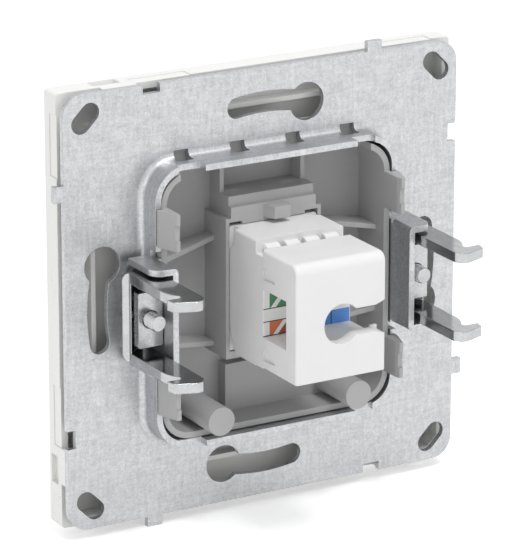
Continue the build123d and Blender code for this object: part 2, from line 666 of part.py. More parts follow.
    # Pocket for the jack: its rear part from behind, its face through the floor
    with BuildSketch(from_behind(CARRIER_FLOOR)):
        with Locations((0, (JACK_TOP + JACK_BOTTOM) / 2)):
            Rectangle(2 * HOLDER_IN, JACK_TOP - JACK_BOTTOM + 2 * JACK_HOLDER_GAP)
        slit_centre_u = HOLDER_IN - HOLDER_SLIT_WIDTH / 2
        slit_centre_v = JACK_TOP + JACK_HOLDER_GAP + HOLDER_SLIT_HEIGHT / 2
        with Locations((-slit_centre_u, slit_centre_v), (slit_centre_u, slit_centre_v)):
            Rectangle(HOLDER_SLIT_WIDTH, HOLDER_SLIT_HEIGHT)
    extrude(amount=CATCH_REACH - CARRIER_FLOOR, mode=Mode.SUBTRACT)
    with BuildSketch(from_behind(CARRIER_FRONT)):
        Rectangle(2 * (JACK_FACE_HALF_W + JACK_HOLDER_GAP), 2 * (JACK_FACE_HALF_H + JACK_HOLDER_GAP))
    extrude(amount=CARRIER_FLOOR - CARRIER_FRONT, mode=Mode.SUBTRACT)
finish(insert_carrier.part, "insert_carrier")

# Front cover
with BuildPart() as front_cover:
    cover_half = COVER_SIDE / 2
    with BuildSketch(from_behind(COVER_FRONT)):
        RectangleRounded(COVER_SIDE, COVER_SIDE, COVER_CORNER_R)
    extrude(amount=COVER_REAR - COVER_FRONT)
    fillet(front_cover.edges().group_by(Axis.Y)[0], COVER_EDGE_R)
    with BuildSketch(from_behind(COVER_FRONT + COVER_FACE)):
        inner_side = COVER_SIDE - 2 * COVER_WALL
        RectangleRounded(inner_side, inner_side, COVER_CORNER_R - COVER_WALL / 2)
    extrude(amount=COVER_REAR - COVER_FRONT, mode=Mode.SUBTRACT)

    # Stiffening ribs behind the face, kept clear of the carrier and the screw heads
    with BuildSketch(from_behind(COVER_FRONT + COVER_FACE)):
        Rectangle(2 * COVER_RING_HALF + COVER_RIB, 2 * COVER_RING_HALF + COVER_RIB)
        Rectangle(2 * COVER_RING_HALF - COVER_RIB, 2 * COVER_RING_HALF - COVER_RIB, mode=Mode.SUBTRACT)
        spoke_end = cover_half - COVER_WALL / 2
        with Locations(*quarter_turns()):
            for place in (-COVER_SPOKE_PLACE, COVER_SPOKE_PLACE):
                with Locations((place, (COVER_RING_HALF + spoke_end) / 2)):
                    Rectangle(COVER_RIB, spoke_end - COVER_RING_HALF)
    extrude(amount=COVER_RIB_REACH - COVER_FRONT - COVER_FACE)

    # Grip recesses in the side walls, feet that reach the plate, and lever recesses beside them
    with BuildSketch(from_behind(COVER_REAR - COVER_GRIP_REACH)):
        with Locations(*quarter_turns()):
            for place in COVER_GRIP_PLACES:
                with Locations((place, cover_half)):
                    Rectangle(COVER_GRIP_LENGTH, 2 * COVER_GRIP_DEPTH)
    extrude(amount=COVER_GRIP_REACH, mode=Mode.SUBTRACT)
    with BuildSketch(from_behind(COVER_FRONT + COVER_FACE / 2)):
        with Locations(*quarter_turns()):
            with Locations((COVER_FOOT_PLACE - COVER_LEVER_SHIFT, cover_half)):
                Rectangle(COVER_LEVER_LENGTH, 2 * COVER_LEVER_DEPTH)
    extrude(amount=COVER_GRIP_REACH, mode=Mode.SUBTRACT)
    with BuildSketch(from_behind(COVER_REAR)):
        with Locations(*quarter_turns()):
            with Locations((COVER_FOOT_PLACE, cover_half - COVER_FOOT_WIDTH / 2)):
                Rectangle(COVER_FOOT_LENGTH, COVER_FOOT_WIDTH)
    extrude(amount=-SHEET - COVER_REAR)

    # Pegs that locate the cover in the carrier's posts
    with BuildSketch(from_behind(COVER_FRONT + COVER_FACE)):
        with Locations((-POST_PLACE_X, POST_PLACE_Z), (POST_PLACE_X, POST_PLACE_Z)):
            Circle(POST_BORE_R - COVER_PEG_GAP)
    extrude(amount=COVER_PEG_END - COVER_FRONT - COVER_FACE)

    # Window for the face of the jack
    with BuildSketch(from_behind(COVER_FRONT)):
        window_half_w = JACK_FACE_HALF_W + COVER_WINDOW_GAP
        window_half_h = JACK_FACE_HALF_H + COVER_WINDOW_GAP
        Rectangle(2 * window_half_w, 2 * window_half_h)
    extrude(amount=COVER_FACE, mode=Mode.SUBTRACT)
finish(front_cover.part, "front_cover")

# Jack body
with BuildPart() as jack_body:
    with BuildSketch(from_behind(JACK_FACE)):
        Rectangle(2 * JACK_FACE_HALF_W, 2 * JACK_FACE_HALF_H)
    extrude(amount=JACK_SHOULDER - JACK_FACE)
    with BuildSketch(from_behind(JACK_SHOULDER)):
        with Locations((0, (JACK_TOP + JACK_BOTTOM) / 2)):
            Rectangle(2 * JACK_HALF_W, JACK_TOP - JACK_BOTTOM)
    extrude(amount=JACK_BAND_REAR - JACK_SHOULDER)
    with BuildSketch(from_behind(JACK_BAND_REAR)):
        with Locations((0, (JACK_REAR_TOP + JACK_REAR_BOTTOM) / 2)):
            Rectangle(2 * JACK_HALF_W, JACK_REAR_TOP - JACK_REAR_BOTTOM)
    extrude(amount=JACK_REAR - JACK_BAND_REAR)
    band_edges = (
        jack_body.edges()
        .filter_by(Axis.Y)
        .filter_by(lambda edge: edge.center().Z > JACK_TOP - 0.01)
    )
    fillet(band_edges, JACK_WALL / 2)

    # Side reliefs at the front, above and below the part that the holder grips
    for side, hand in SIDES:
        with BuildSketch(Plane.YZ.offset(side * JACK_HALF_W)):
            with BuildLine():
                Polyline(
                    (JACK_SIDE_FRONT, JACK_TOP),
                    (JACK_SIDE_TOP_REAR, JACK_TOP),
                    (JACK_SIDE_TOP_REAR, JACK_SIDE_TOP),
                    (JACK_SIDE_FRONT, JACK_SIDE_TOP - JACK_SIDE_SLOPE),
                    close=True,
                )
            make_face()
            with BuildLine():
                Polyline(
                    (JACK_SIDE_FRONT, JACK_BOTTOM),
                    (JACK_SIDE_BOTTOM_REAR, JACK_BOTTOM),
                    (JACK_SIDE_FRONT, JACK_BOTTOM + 2 * JACK_SIDE_SLOPE),
                    close=True,
                )
            make_face()
        extrude(amount=-side * JACK_SIDE_RELIEF, mode=Mode.SUBTRACT)

    # Rounded noses over the ends of the upper wire slots
    for place in WIRE_PLACES:
        with BuildSketch(Plane.YZ.offset(-place - WIRE_NOSE_WIDTH / 2)):
            with BuildLine():
                nose_end = JACK_BAND_REAR + WIRE_NOSE_REACH
                Polyline(
                    (JACK_BAND_REAR - WIRE_NOSE_REACH / 2, WIRE_NOSE_TOP),
                    (JACK_BAND_REAR - WIRE_NOSE_REACH / 2, WIRE_NOSE_BOTTOM),
                    (nose_end, WIRE_NOSE_BOTTOM),
                )
                ThreePointArc(
                    (nose_end, WIRE_NOSE_BOTTOM),
                    (nose_end - WIRE_NOSE_REACH / 4, (WIRE_NOSE_BOTTOM + 2 * WIRE_NOSE_TOP) / 3),
                    (JACK_BAND_REAR, WIRE_NOSE_TOP),
                )
                Line((JACK_BAND_REAR, WIRE_NOSE_TOP), (JACK_BAND_REAR - WIRE_NOSE_REACH / 2, WIRE_NOSE_TOP))
            make_face()
        extrude(amount=WIRE_NOSE_WIDTH)

    # Room for the port insert, open at the face
    with BuildSketch(from_behind(JACK_FACE)):
        Rectangle(2 * (JACK_FACE_HALF_W - JACK_WALL), 2 * (JACK_FACE_HALF_H - JACK_WALL))
    extrude(amount=JACK_BACK_WALL_FRONT - JACK_FACE, mode=Mode.SUBTRACT)

    # Contact pockets and wire slots in the back wall, above and below its middle
    with BuildSketch(from_behind(JACK_BACK_WALL_FRONT)):
        with Locations(*[(u, v) for u in WIRE_PLACES for v in (-FORK_PLACE_Z, FORK_PLACE_Z)]):
            Rectangle(FORK_WIDTH + 2 * FORK_POCKET_GAP, FORK_THICKNESS + 2 * FORK_POCKET_GAP)
    extrude(amount=JACK_REAR - JACK_BACK_WALL_FRONT, mode=Mode.SUBTRACT)
    with BuildSketch(from_behind(WIRE_SLOT_FLOOR)):
        for reach, up in ((JACK_REAR_TOP, 1), (-JACK_REAR_BOTTOM, -1)):
            with Locations(*[(u, up * (WIRE_SLOT_INNER + reach) / 2) for u in WIRE_PLACES]):
                Rectangle(WIRE_SLOT_WIDTH, reach - WIRE_SLOT_INNER)
            with Locations(*[(u, up * (reach - WIRE_MOUTH_DEPTH / 2)) for u in WIRE_PLACES]):
                Rectangle(WIRE_MOUTH_WIDTH, WIRE_MOUTH_DEPTH)
    extrude(amount=JACK_REAR - WIRE_SLOT_FLOOR, mode=Mode.SUBTRACT)
finish(jack_body.part, "jack_body")

# Port insert: the plug opening and the bed for the contact springs
with BuildPart() as port_insert:
    insert_front = JACK_FACE + INSERT_GAP
    with BuildSketch(from_behind(insert_front)):
        Rectangle(2 * INSERT_HALF_W, 2 * INSERT_HALF_H)
    extrude(amount=INSERT_REAR - insert_front)
    port_bottom = PORT_CENTRE_Z - PORT_HEIGHT / 2
    port_top = PORT_CENTRE_Z + PORT_HEIGHT / 2
    with BuildSketch(from_behind(insert_front)):
        with Locations((0, PORT_CENTRE_Z)):
            Rectangle(PORT_WIDTH, PORT_HEIGHT)
        with Locations((0, port_bottom - PORT_KEY_DEPTH / 2)):
            Rectangle(PORT_KEY_WIDTH, PORT_KEY_DEPTH)
        with Locations((0, port_bottom - PORT_KEY_DEPTH - PORT_CLIP_DEPTH / 2)):
            Rectangle(PORT_CLIP_WIDTH, PORT_CLIP_DEPTH)
    extrude(amount=PORT_END - insert_front, mode=Mode.SUBTRACT)
    with BuildSketch(from_behind(SPRING_POCKET_FRONT)):
        with Locations((0, (port_top + SPRING_POCKET_TOP) / 2)):
            Rectangle(2 * SPRING_POCKET_HALF_W, SPRING_POCKET_TOP - port_top)
    extrude(amount=INSERT_REAR - SPRING_POCKET_FRONT, mode=Mode.SUBTRACT)
finish(port_insert.part, "port_insert")

# Contact block, which holds the springs in their bed
with BuildPart() as contact_block:
    block_bottom = SPRING_BED_Z + SPRING_THICKNESS / 2
    block_top = SPRING_POCKET_TOP - SPRING_BLOCK_GAP
    with BuildSketch(from_behind(SPRING_BLOCK_FRONT)):
        with Locations((0, (block_bottom + block_top) / 2)):
            Rectangle(2 * (SPRING_POCKET_HALF_W - SPRING_BLOCK_GAP), block_top - block_bottom)
    extrude(amount=INSERT_REAR - SPRING_BLOCK_FRONT)
finish(contact_block.part, "contact_block")

# Circuit board between the contact springs and the wire contacts
with BuildPart() as circuit_board:
    with BuildSketch(from_behind(BOARD_FRONT)):
        Rectangle(2 * INSERT_HALF_W, 2 * INSERT_HALF_H)
        with Locations(*[(u, SPRING_BED_Z) for u in SPRING_PLACES]):
            Circle(math.hypot(SPRING_WIDTH, SPRING_THICKNESS) / 2 + PIN_HOLE_GAP, mode=Mode.SUBTRACT)
        with Locations(*[(u, v) for u in WIRE_PLACES for v in (-FORK_PLACE_Z, FORK_PLACE_Z)]):
            Circle(math.hypot(FORK_PIN_WIDTH, FORK_THICKNESS) / 2 + PIN_HOLE_GAP, mode=Mode.SUBTRACT)
    extrude(amount=BOARD_THICKNESS)
finish(circuit_board.part, "circuit_board")

# Eight contact springs, each one wire folded back under its bed
for index, place in enumerate(SPRING_PLACES):
    with BuildPart() as contact_spring:
        with BuildSketch(Plane.YZ.offset(-place - SPRING_WIDTH / 2)):
            with BuildLine() as route:
                fold_bottom = SPRING_BED_Z - 2 * SPRING_BEND_R
                Line((BOARD_REAR + PIN_STICK_OUT, SPRING_BED_Z), (SPRING_FRONT, SPRING_BED_Z))
                ThreePointArc(
                    (SPRING_FRONT, SPRING_BED_Z),
                    (SPRING_FRONT - SPRING_BEND_R, SPRING_BED_Z - SPRING_BEND_R),
                    (SPRING_FRONT, fold_bottom),
                )
                Line((SPRING_FRONT, fold_bottom), (SPRING_END_Y, SPRING_END_Z))
            trace(line_width=SPRING_THICKNESS)
        extrude(amount=SPRING_WIDTH)
    finish(contact_spring.part, f"contact_spring_{index + 1}")

# Eight forked wire contacts
fork_number = 0
for up in (1, -1):
    for place in WIRE_PLACES:
        fork_number += 1
        with BuildPart() as wire_contact:
            with BuildSketch(Plane.XY.offset(up * FORK_PLACE_Z - FORK_THICKNESS / 2)):
                fork_front = JACK_BACK_WALL_FRONT + FORK_POCKET_GAP
                with Locations((-place, (fork_front + FORK_END) / 2)):
                    Rectangle(FORK_WIDTH, FORK_END - fork_front)
                with Locations((-place, (BOARD_FRONT + fork_front) / 2)):
                    Rectangle(FORK_PIN_WIDTH, fork_front - BOARD_FRONT)
                with Locations((-place, (FORK_SLIT_FLOOR + FORK_END) / 2)):
                    Rectangle(FORK_SLIT, FORK_END - FORK_SLIT_FLOOR, mode=Mode.SUBTRACT)
                with BuildLine():
                    Polyline(
                        (-place - FORK_MOUTH, FORK_END),
                        (-place, FORK_END - FORK_MOUTH),
                        (-place + FORK_MOUTH, FORK_END),
                        close=True,
                    )
                make_face(mode=Mode.SUBTRACT)
            extrude(amount=FORK_THICKNESS)
        finish(wire_contact.part, f"wire_contact_{fork_number}")

# Wiring label on the jack's rear face
with BuildPart() as wiring_label:
    with BuildSketch(from_behind(JACK_REAR)):
        with Locations((0, (LABEL_TOP + LABEL_BOTTOM) / 2)):
            Rectangle(2 * (JACK_HALF_W - LABEL_EDGE), LABEL_TOP - LABEL_BOTTOM)
    extrude(amount=LABEL_THICKNESS)
finish(wiring_label.part, "wiring_label")

# Wire cap
with BuildPart() as wire_cap:
    with BuildSketch(from_behind(CAP_FRONT)):
        with Locations((0, (CAP_TOP + CAP_BOTTOM) / 2)):
            Rectangle(2 * CAP_HALF_W, CAP_TOP - CAP_BOTTOM)
    extrude(amount=CAP_REAR - CAP_FRONT)
    fillet(wire_cap.edges().filter_by(Axis.X).sort_by(lambda edge: edge.center().Y + edge.center().Z)[-1], CAP_CREST_R)
    rear_sides = wire_cap.faces().sort_by(Axis.Y)[-1].edges().filter_by(Axis.Z)
    fillet(rear_sides, CAP_EDGE_R)
    with BuildSketch(from_behind(CAP_FRONT)):
        with Locations((0, (CAP_TOP + CAP_BOTTOM) / 2)):
            Rectangle(2 * (CAP_HALF_W - CAP_WALL), CAP_TOP - CAP_BOTTOM - 2 * CAP_WALL)
    extrude(amount=CAP_REAR - CAP_FRONT - CAP_REAR_WALL, mode=Mode.SUBTRACT)

    # Channel for the wires: a ceiling and a floor level with the side windows
    with BuildSketch(from_behind(CAP_FRONT)):
        for wall_centre_z in (WINDOW_TOP + CHANNEL_WALL / 2, WINDOW_BOTTOM - CHANNEL_WALL / 2):
            with Locations((0, wall_centre_z)):
                Rectangle(2 * CAP_HALF_W - CAP_WALL, CHANNEL_WALL)
    extrude(amount=CAP_REAR - CAP_REAR_WALL - CAP_FRONT)

    # Blades that press the wires into their contacts
    for wall_z, up in ((CAP_TOP, 1), (-CAP_BOTTOM, -1)):
        for place in WIRE_PLACES:
            with BuildSketch(Plane.YZ.offset(-place - BLADE_WIDTH / 2)):
                blade_out = (JACK_REAR_TOP if up > 0 else -JACK_REAR_BOTTOM) - BLADE_JACK_GAP
                with BuildLine():
                    Polyline(
                        (BLADE_FRONT, up * BLADE_INNER),
                        (BLADE_REAR, up * BLADE_INNER),
                        (BLADE_REAR, up * (wall_z - CAP_WALL / 2)),
                        (CAP_FRONT, up * (wall_z - CAP_WALL / 2)),
                        (CAP_FRONT, up * blade_out),
                        (BLADE_FRONT, up * blade_out),
                        close=True,
                    )
                make_face()
            extrude(amount=BLADE_WIDTH)

    # Side windows that show the label, open towards the jack
    with BuildSketch(Plane.YZ.offset(-CAP_HALF_W - CLEAR)):
        with Locations(((CAP_FRONT + WINDOW_END) / 2, (WINDOW_TOP + WINDOW_BOTTOM) / 2)):
            Rectangle(WINDOW_END - CAP_FRONT, WINDOW_TOP - WINDOW_BOTTOM)
    extrude(amount=2 * (CAP_HALF_W + CLEAR), mode=Mode.SUBTRACT)

    # Cable hole with a flared slot out to one side
    with BuildSketch(from_behind(CAP_REAR - CAP_REAR_WALL - CLEAR)):
        with Locations((-CABLE_PLACE_X, CABLE_PLACE_Z)):
            Circle(CABLE_R)
        with BuildLine():
            Polyline(
                (-CABLE_PLACE_X, CABLE_PLACE_Z - CABLE_SLOT_HALF),
                (CAP_HALF_W - CABLE_SLOT_FLARE_LENGTH, CABLE_PLACE_Z - CABLE_SLOT_HALF),
                (CAP_HALF_W + CABLE_SLOT_OVERRUN, CABLE_PLACE_Z - CABLE_SLOT_HALF - CABLE_SLOT_FLARE),
                (CAP_HALF_W + CABLE_SLOT_OVERRUN, CABLE_PLACE_Z + CABLE_SLOT_HALF + CABLE_SLOT_FLARE),
                (CAP_HALF_W - CABLE_SLOT_FLARE_LENGTH, CABLE_PLACE_Z + CABLE_SLOT_HALF),
                (-CABLE_PLACE_X, CABLE_PLACE_Z + CABLE_SLOT_HALF),
                close=True,
            )
        make_face()
    extrude(amount=CAP_REAR_WALL + 2 * CLEAR, mode=Mode.SUBTRACT)
    with BuildSketch(from_behind(WINDOW_END - CLEAR)):
        with Locations((CAP_HALF_W - CAP_WALL / 2, CABLE_PLACE_Z)):
            Rectangle(2 * CAP_WALL, 2 * CABLE_SLOT_HALF)
    extrude(amount=CAP_REAR - WINDOW_END + CLEAR, mode=Mode.SUBTRACT)

    # Shallow latch recesses in the left side
    with BuildSketch(Plane.YZ.offset(CAP_HALF_W)):
        for base in LATCH_RECESS_PLACES:
            with BuildLine():
                Polyline(*[(CAP_FRONT + behind, base + above) for behind, above in LATCH_RECESS_OUTLINE], close=True)
            make_face()
    extrude(amount=-LATCH_RECESS_DEPTH, mode=Mode.SUBTRACT)
finish(wire_cap.part, "wire_cap")
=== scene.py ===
import logging
import math
from dataclasses import dataclass, field
from enum import Enum

import bmesh
import bpy
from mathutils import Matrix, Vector


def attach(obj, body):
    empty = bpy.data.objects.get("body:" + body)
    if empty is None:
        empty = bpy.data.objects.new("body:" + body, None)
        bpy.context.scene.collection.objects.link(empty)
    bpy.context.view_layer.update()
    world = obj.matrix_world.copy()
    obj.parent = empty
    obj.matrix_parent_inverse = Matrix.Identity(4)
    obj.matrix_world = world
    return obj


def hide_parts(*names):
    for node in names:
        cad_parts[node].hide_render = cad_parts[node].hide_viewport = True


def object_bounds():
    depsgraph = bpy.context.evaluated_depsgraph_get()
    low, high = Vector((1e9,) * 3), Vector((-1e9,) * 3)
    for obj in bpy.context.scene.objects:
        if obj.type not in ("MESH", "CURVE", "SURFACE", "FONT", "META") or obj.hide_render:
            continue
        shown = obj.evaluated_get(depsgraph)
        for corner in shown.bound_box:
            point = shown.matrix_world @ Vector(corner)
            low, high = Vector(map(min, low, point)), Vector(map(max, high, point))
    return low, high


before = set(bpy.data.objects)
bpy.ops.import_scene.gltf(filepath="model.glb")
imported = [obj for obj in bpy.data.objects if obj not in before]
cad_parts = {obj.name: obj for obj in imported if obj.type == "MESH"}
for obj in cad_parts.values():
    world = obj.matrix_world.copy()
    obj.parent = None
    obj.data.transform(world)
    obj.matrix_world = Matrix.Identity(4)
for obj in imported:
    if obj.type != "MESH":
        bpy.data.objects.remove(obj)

LOG = logging.getLogger("data_socket")
CAD_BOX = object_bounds()

MM = 0.001
WELD_MM = 0.0005
TOUCH_MM = 0.05

Colour = tuple[float, float, float]
Triple = tuple[float, float, float]
Span = tuple[float, float]


class Hand(Enum):
    """The two sides of the socket, by the sign of X."""

    LEFT = 1
    RIGHT = -1

    @property
    def word(self) -> str:
        """The word used in node and body names."""
        return self.name.lower()


class Axis(Enum):
    """Components of a position."""

    X = 0
    Y = 1
    Z = 2


# Node building

class Signal:
    """A value in a node tree, with arithmetic that adds its own nodes."""

    def __init__(self, sheet: "NodeSheet", socket: bpy.types.NodeSocket) -> None:
        """Wraps a socket.

        Args:
            sheet: the sheet that the socket belongs to.
            socket: the output socket that carries the value.
        """
        self.sheet = sheet
        self.socket = socket

    def _join(
        self, operation: str, first: "Signal | float", second: "Signal | float" = 0.0
    ) -> "Signal":
        """Adds a Math node.

        Args:
            operation: the node's operation.
            first: its first operand.
            second: its second operand.

        Returns:
            The node's result.
        """
        return self.sheet.node("ShaderNodeMath", {"operation": operation}, {0: first, 1: second})

    def __add__(self, other: "Signal | float") -> "Signal":
        """Sum."""
        return self._join("ADD", self, other)

    def __radd__(self, other: float) -> "Signal":
        """Reflected sum."""
        return self._join("ADD", other, self)

    def __sub__(self, other: "Signal | float") -> "Signal":
        """Difference."""
        return self._join("SUBTRACT", self, other)

    def __rsub__(self, other: float) -> "Signal":
        """Reflected difference."""
        return self._join("SUBTRACT", other, self)

    def __mul__(self, other: "Signal | float") -> "Signal":
        """Product."""
        return self._join("MULTIPLY", self, other)

    def __rmul__(self, other: float) -> "Signal":
        """Reflected product."""
        return self._join("MULTIPLY", other, self)

    def __truediv__(self, other: "Signal | float") -> "Signal":
        """Quotient."""
        return self._join("DIVIDE", self, other)

    def __gt__(self, other: "Signal | float") -> "Signal":
        """1 where this is greater, otherwise 0."""
        return self._join("GREATER_THAN", self, other)

    def __lt__(self, other: "Signal | float") -> "Signal":
        """1 where this is less, otherwise 0."""
        return self._join("LESS_THAN", self, other)

    def between(self, low: float, high: float) -> "Signal":
        """A mask that is 1 from low to high.

        Args:
            low: lower limit.
            high: upper limit.

        Returns:
            The mask.
        """
        return (self > low) * (self < high)

    def modulo(self, step: float) -> "Signal":
        """The rest after division by step, never negative."""
        return self._join("FLOORED_MODULO", self, step)

    def smaller(self, other: "Signal | float") -> "Signal":
        """The smaller of two numbers."""
        return self._join("MINIMUM", self, other)

    def absolute(self) -> "Signal":
        """This number without its sign."""
        return self._join("ABSOLUTE", self)

    def sine(self) -> "Signal":
        """The sine of this angle."""
        return self._join("SINE", self)

    def cosine(self) -> "Signal":
        """The cosine of this angle."""
        return self._join("COSINE", self)

    def spread(
        self, low: float, high: float, to_low: float = 0.0, to_high: float = 1.0
    ) -> "Signal":
        """Maps one range on to another, clamped.

        Args:
            low: start of the range read.
            high: end of the range read.
            to_low: value given at low.
            to_high: value given at high.

        Returns:
            The mapped number.
        """
        ranges = {"From Min": low, "From Max": high, "To Min": to_low, "To Max": to_high}
        return self.sheet.node("ShaderNodeMapRange", {"clamp": True}, {"Value": self, **ranges})


class NodeSheet:
    """A node tree, with one method that makes any node."""

    def __init__(self, tree: bpy.types.NodeTree) -> None:
        """Takes an empty tree.

        Args:
            tree: the tree that the nodes go into.
        """
        self.tree = tree

    def node(
        self,
        kind: str,
        settings: dict[str, object] | None = None,
        inputs: dict[str | int, object] | None = None,
        output: str | int = 0,
    ) -> Signal:
        """Makes one node.

        Args:
            kind: the node's type.
            settings: attributes, which are set first.
            inputs: sockets by name or number, each given a value or a link.
            output: the output wanted, by name or number.

        Returns:
            The wanted output.
        """
        made = self.tree.nodes.new(kind)
        for key, value in (settings or {}).items():
            setattr(made, key, value)
        for key, value in (inputs or {}).items():
            socket = made.inputs[key]
            if isinstance(value, Signal):
                self.tree.links.new(value.socket, socket)
            else:
                socket.default_value = value
        return Signal(self, made.outputs[output])

    def component(self, vector: Signal, axis: Axis) -> Signal:
        """One component of a vector.

        Args:
            vector: the vector.
            axis: the component wanted.

        Returns:
            The component.
        """
        return self.node("ShaderNodeSeparateXYZ", None, {0: vector}, axis.value)

    def in_plain_sight(self) -> Signal:
        """1 for rays of the camera, mirrors and glass, 0 for rays that only carry light."""
        seen = self.node("ShaderNodeLightPath", output="Is Camera Ray")
        mirrored = self.node("ShaderNodeLightPath", output="Is Glossy Ray")
        passed = self.node("ShaderNodeLightPath", output="Is Transmission Ray")
        return seen + mirrored + passed


class MaterialSheet(NodeSheet):
    """A material and its node tree."""

    def __init__(self, name: str) -> None:
        """Starts an empty material.

        Args:
            name: the material's name.
        """
        self.material = bpy.data.materials.new(name)
        self.material.use_nodes = True
        super().__init__(self.material.node_tree)
        self.tree.nodes.clear()

    def position(self) -> Signal:
        """The place on the object, in metres."""
        return self.node("ShaderNodeTexCoord", output="Object")

    def noise(
        self,
        cell_mm: float,
        detail: float = 2.0,
        roughness: float = 0.5,
        squash: Triple | None = None,
    ) -> Signal:
        """Cloudy noise about 0.5.

        Args:
            cell_mm: size of its largest features.
            detail: how many finer layers it has.
            roughness: how strong those are.
            squash: factors on the coordinates; below 1 they draw the noise out into streaks.

        Returns:
            The noise.
        """
        place = self.position()
        if squash:
            place = self.node("ShaderNodeMapping", None, {"Vector": place, "Scale": squash})
        inputs = {"Scale": 1 / (cell_mm * MM), "Detail": detail, "Roughness": roughness}
        return self.node("ShaderNodeTexNoise", None, {**inputs, "Vector": place})

    def blend(self, mask: Signal | float, first: object, second: object) -> Signal:
        """Mixes two colours.

        Args:
            mask: 0 gives the first, 1 the second.
            first: a colour or a link.
            second: a colour or a link.

        Returns:
            The mixed colour.
        """
        made = self.tree.nodes.new("ShaderNodeMix")
        made.data_type = "RGBA"
        low, high = (socket for socket in made.inputs if socket.type == "RGBA")
        for value, socket in ((mask, made.inputs[0]), (first, low), (second, high)):
            if isinstance(value, Signal):
                self.tree.links.new(value.socket, socket)
            else:
                socket.default_value = (*value, 1.0) if socket.type == "RGBA" else value
        return Signal(self, next(socket for socket in made.outputs if socket.type == "RGBA"))

    def relief(self, height: Signal, depth_mm: float, edge_mm: float = 0.0) -> Signal:
        """A bumped normal over softly rounded edges.

        Args:
            height: the relief, from 0 to 1.
            depth_mm: how deep 1 is.
            edge_mm: radius given to sharp edges.

        Returns:
            The normal.
        """
        inputs = {"Strength": 1.0, "Distance": depth_mm * MM, "Height": height}
        if edge_mm:
            edge = {"Radius": edge_mm * MM}
            inputs["Normal"] = self.node("ShaderNodeBevel", {"samples": 6}, edge)
        return self.node("ShaderNodeBump", None, inputs)

    def surface(self, **inputs: object) -> bpy.types.Material:
        """Ends the tree in a Principled shader.

        Args:
            **inputs: sockets by name with _ for a space, each a value or a link.

        Returns:
            The finished material.
        """
        values = {}
        for key, value in inputs.items():
            is_colour = isinstance(value, tuple) and len(value) == 3
            values[key.replace("_", " ")] = (*value, 1.0) if is_colour else value
        shader = self.node("ShaderNodeBsdfPrincipled", None, values)
        self.node_to_output(shader)
        return self.material

    def node_to_output(self, shader: Signal) -> None:
        """Links a shader to the material's output."""
        output = self.tree.nodes.new("ShaderNodeOutputMaterial")
        self.tree.links.new(shader.socket, output.inputs["Surface"])


class ShapeSheet(NodeSheet):
    """A Geometry Nodes tree with named sizes."""

    def __init__(self, name: str, sizes: dict[str, float]) -> None:
        """Starts a tree with one input for each size.

        Args:
            name: the tree's name.
            sizes: the inputs and their values.
        """
        super().__init__(bpy.data.node_groups.new(name, "GeometryNodeTree"))
        self.sizes = sizes
        face = self.tree.interface
        for label in sizes:
            face.new_socket(label, in_out="INPUT", socket_type="NodeSocketFloat")
        face.new_socket("Geometry", in_out="OUTPUT", socket_type="NodeSocketGeometry")
        self.entry = self.tree.nodes.new("NodeGroupInput")

    def size(self, label: str) -> Signal:
        """A named input.

        Args:
            label: its name.

        Returns:
            Its value.
        """
        return Signal(self, self.entry.outputs[label])

    def close(self, shape: Signal, material: bpy.types.Material) -> None:
        """Ends the tree in plain geometry with its material.

        Args:
            shape: the geometry.
            material: its finish.
        """
        plain = self.node("GeometryNodeRealizeInstances", None, {"Geometry": shape})
        finish = {"Geometry": plain, "Material": material}
        dressed = self.node("GeometryNodeSetMaterial", None, finish)
        leave = self.tree.nodes.new("NodeGroupOutput")
        self.tree.links.new(dressed.socket, leave.inputs["Geometry"])

    def mesh(self) -> bpy.types.Mesh:
        """Runs the tree.

        Returns:
            Its result as a plain mesh.
        """
        carrier = bpy.data.objects.new(self.tree.name, bpy.data.meshes.new(self.tree.name))
        bpy.context.scene.collection.objects.link(carrier)
        modifier = carrier.modifiers.new(self.tree.name, "NODES")
        modifier.node_group = self.tree
        for item in self.tree.interface.items_tree:
            if item.item_type == "SOCKET" and item.in_out == "INPUT":
                modifier[item.identifier] = self.sizes[item.name]
        graph = bpy.context.evaluated_depsgraph_get()
        result = bpy.data.meshes.new_from_object(carrier.evaluated_get(graph))
        carrier.modifiers.remove(modifier)
        bpy.data.objects.remove(carrier)
        return result


# Finishes

@dataclass(frozen=True)
class GalvanisedSheet:
    """Hot-dipped steel sheet: pale, matt, with a fine spangle and faint rolling marks."""

    name: str = "galvanised_sheet"
    light: Colour = (0.62, 0.63, 0.645)
    dark: Colour = (0.41, 0.417, 0.427)
    grain_mm: float = 0.26
    spangle_mm: float = 0.52
    cloud_mm: float = 4.5
    streak_mm: float = 0.6
    streak_squash: float = 0.15
    roughness: float = 0.34
    metallic: float = 0.9
    relief_mm: float = 0.008
    edge_mm: float = 0.12

    def make(self) -> bpy.types.Material:
        """Builds the material."""
        sheet = MaterialSheet(self.name)
        spangle = sheet.node(
            "ShaderNodeTexVoronoi",
            {"feature": "F1", "distance": "EUCLIDEAN"},
            {"Vector": sheet.position(), "Scale": 1 / (self.spangle_mm * MM)},
            "Color",
        )
        facet = sheet.component(spangle, Axis.X)
        grain = sheet.noise(self.grain_mm, 3.0, 0.6)
        cloud = sheet.noise(self.cloud_mm, 3.0, 0.55)
        rolled = sheet.noise(self.streak_mm, squash=(1.0, 1.0, self.streak_squash))
        crossed = sheet.noise(self.streak_mm, squash=(self.streak_squash, 1.0, 1.0))
        tone = grain * 0.46 + cloud * 0.1 + rolled * 0.2 + crossed * 0.18 + facet * 0.08
        height = grain * 0.6 + facet * 0.4 + rolled * 0.3
        return sheet.surface(
            Base_Color=sheet.blend(tone.spread(0.38, 0.66), self.dark, self.light),
            Metallic=self.metallic,
            Roughness=tone.spread(0.4, 0.7, self.roughness + 0.1, self.roughness - 0.06),
            Normal=sheet.relief(height, self.relief_mm, self.edge_mm),
        )


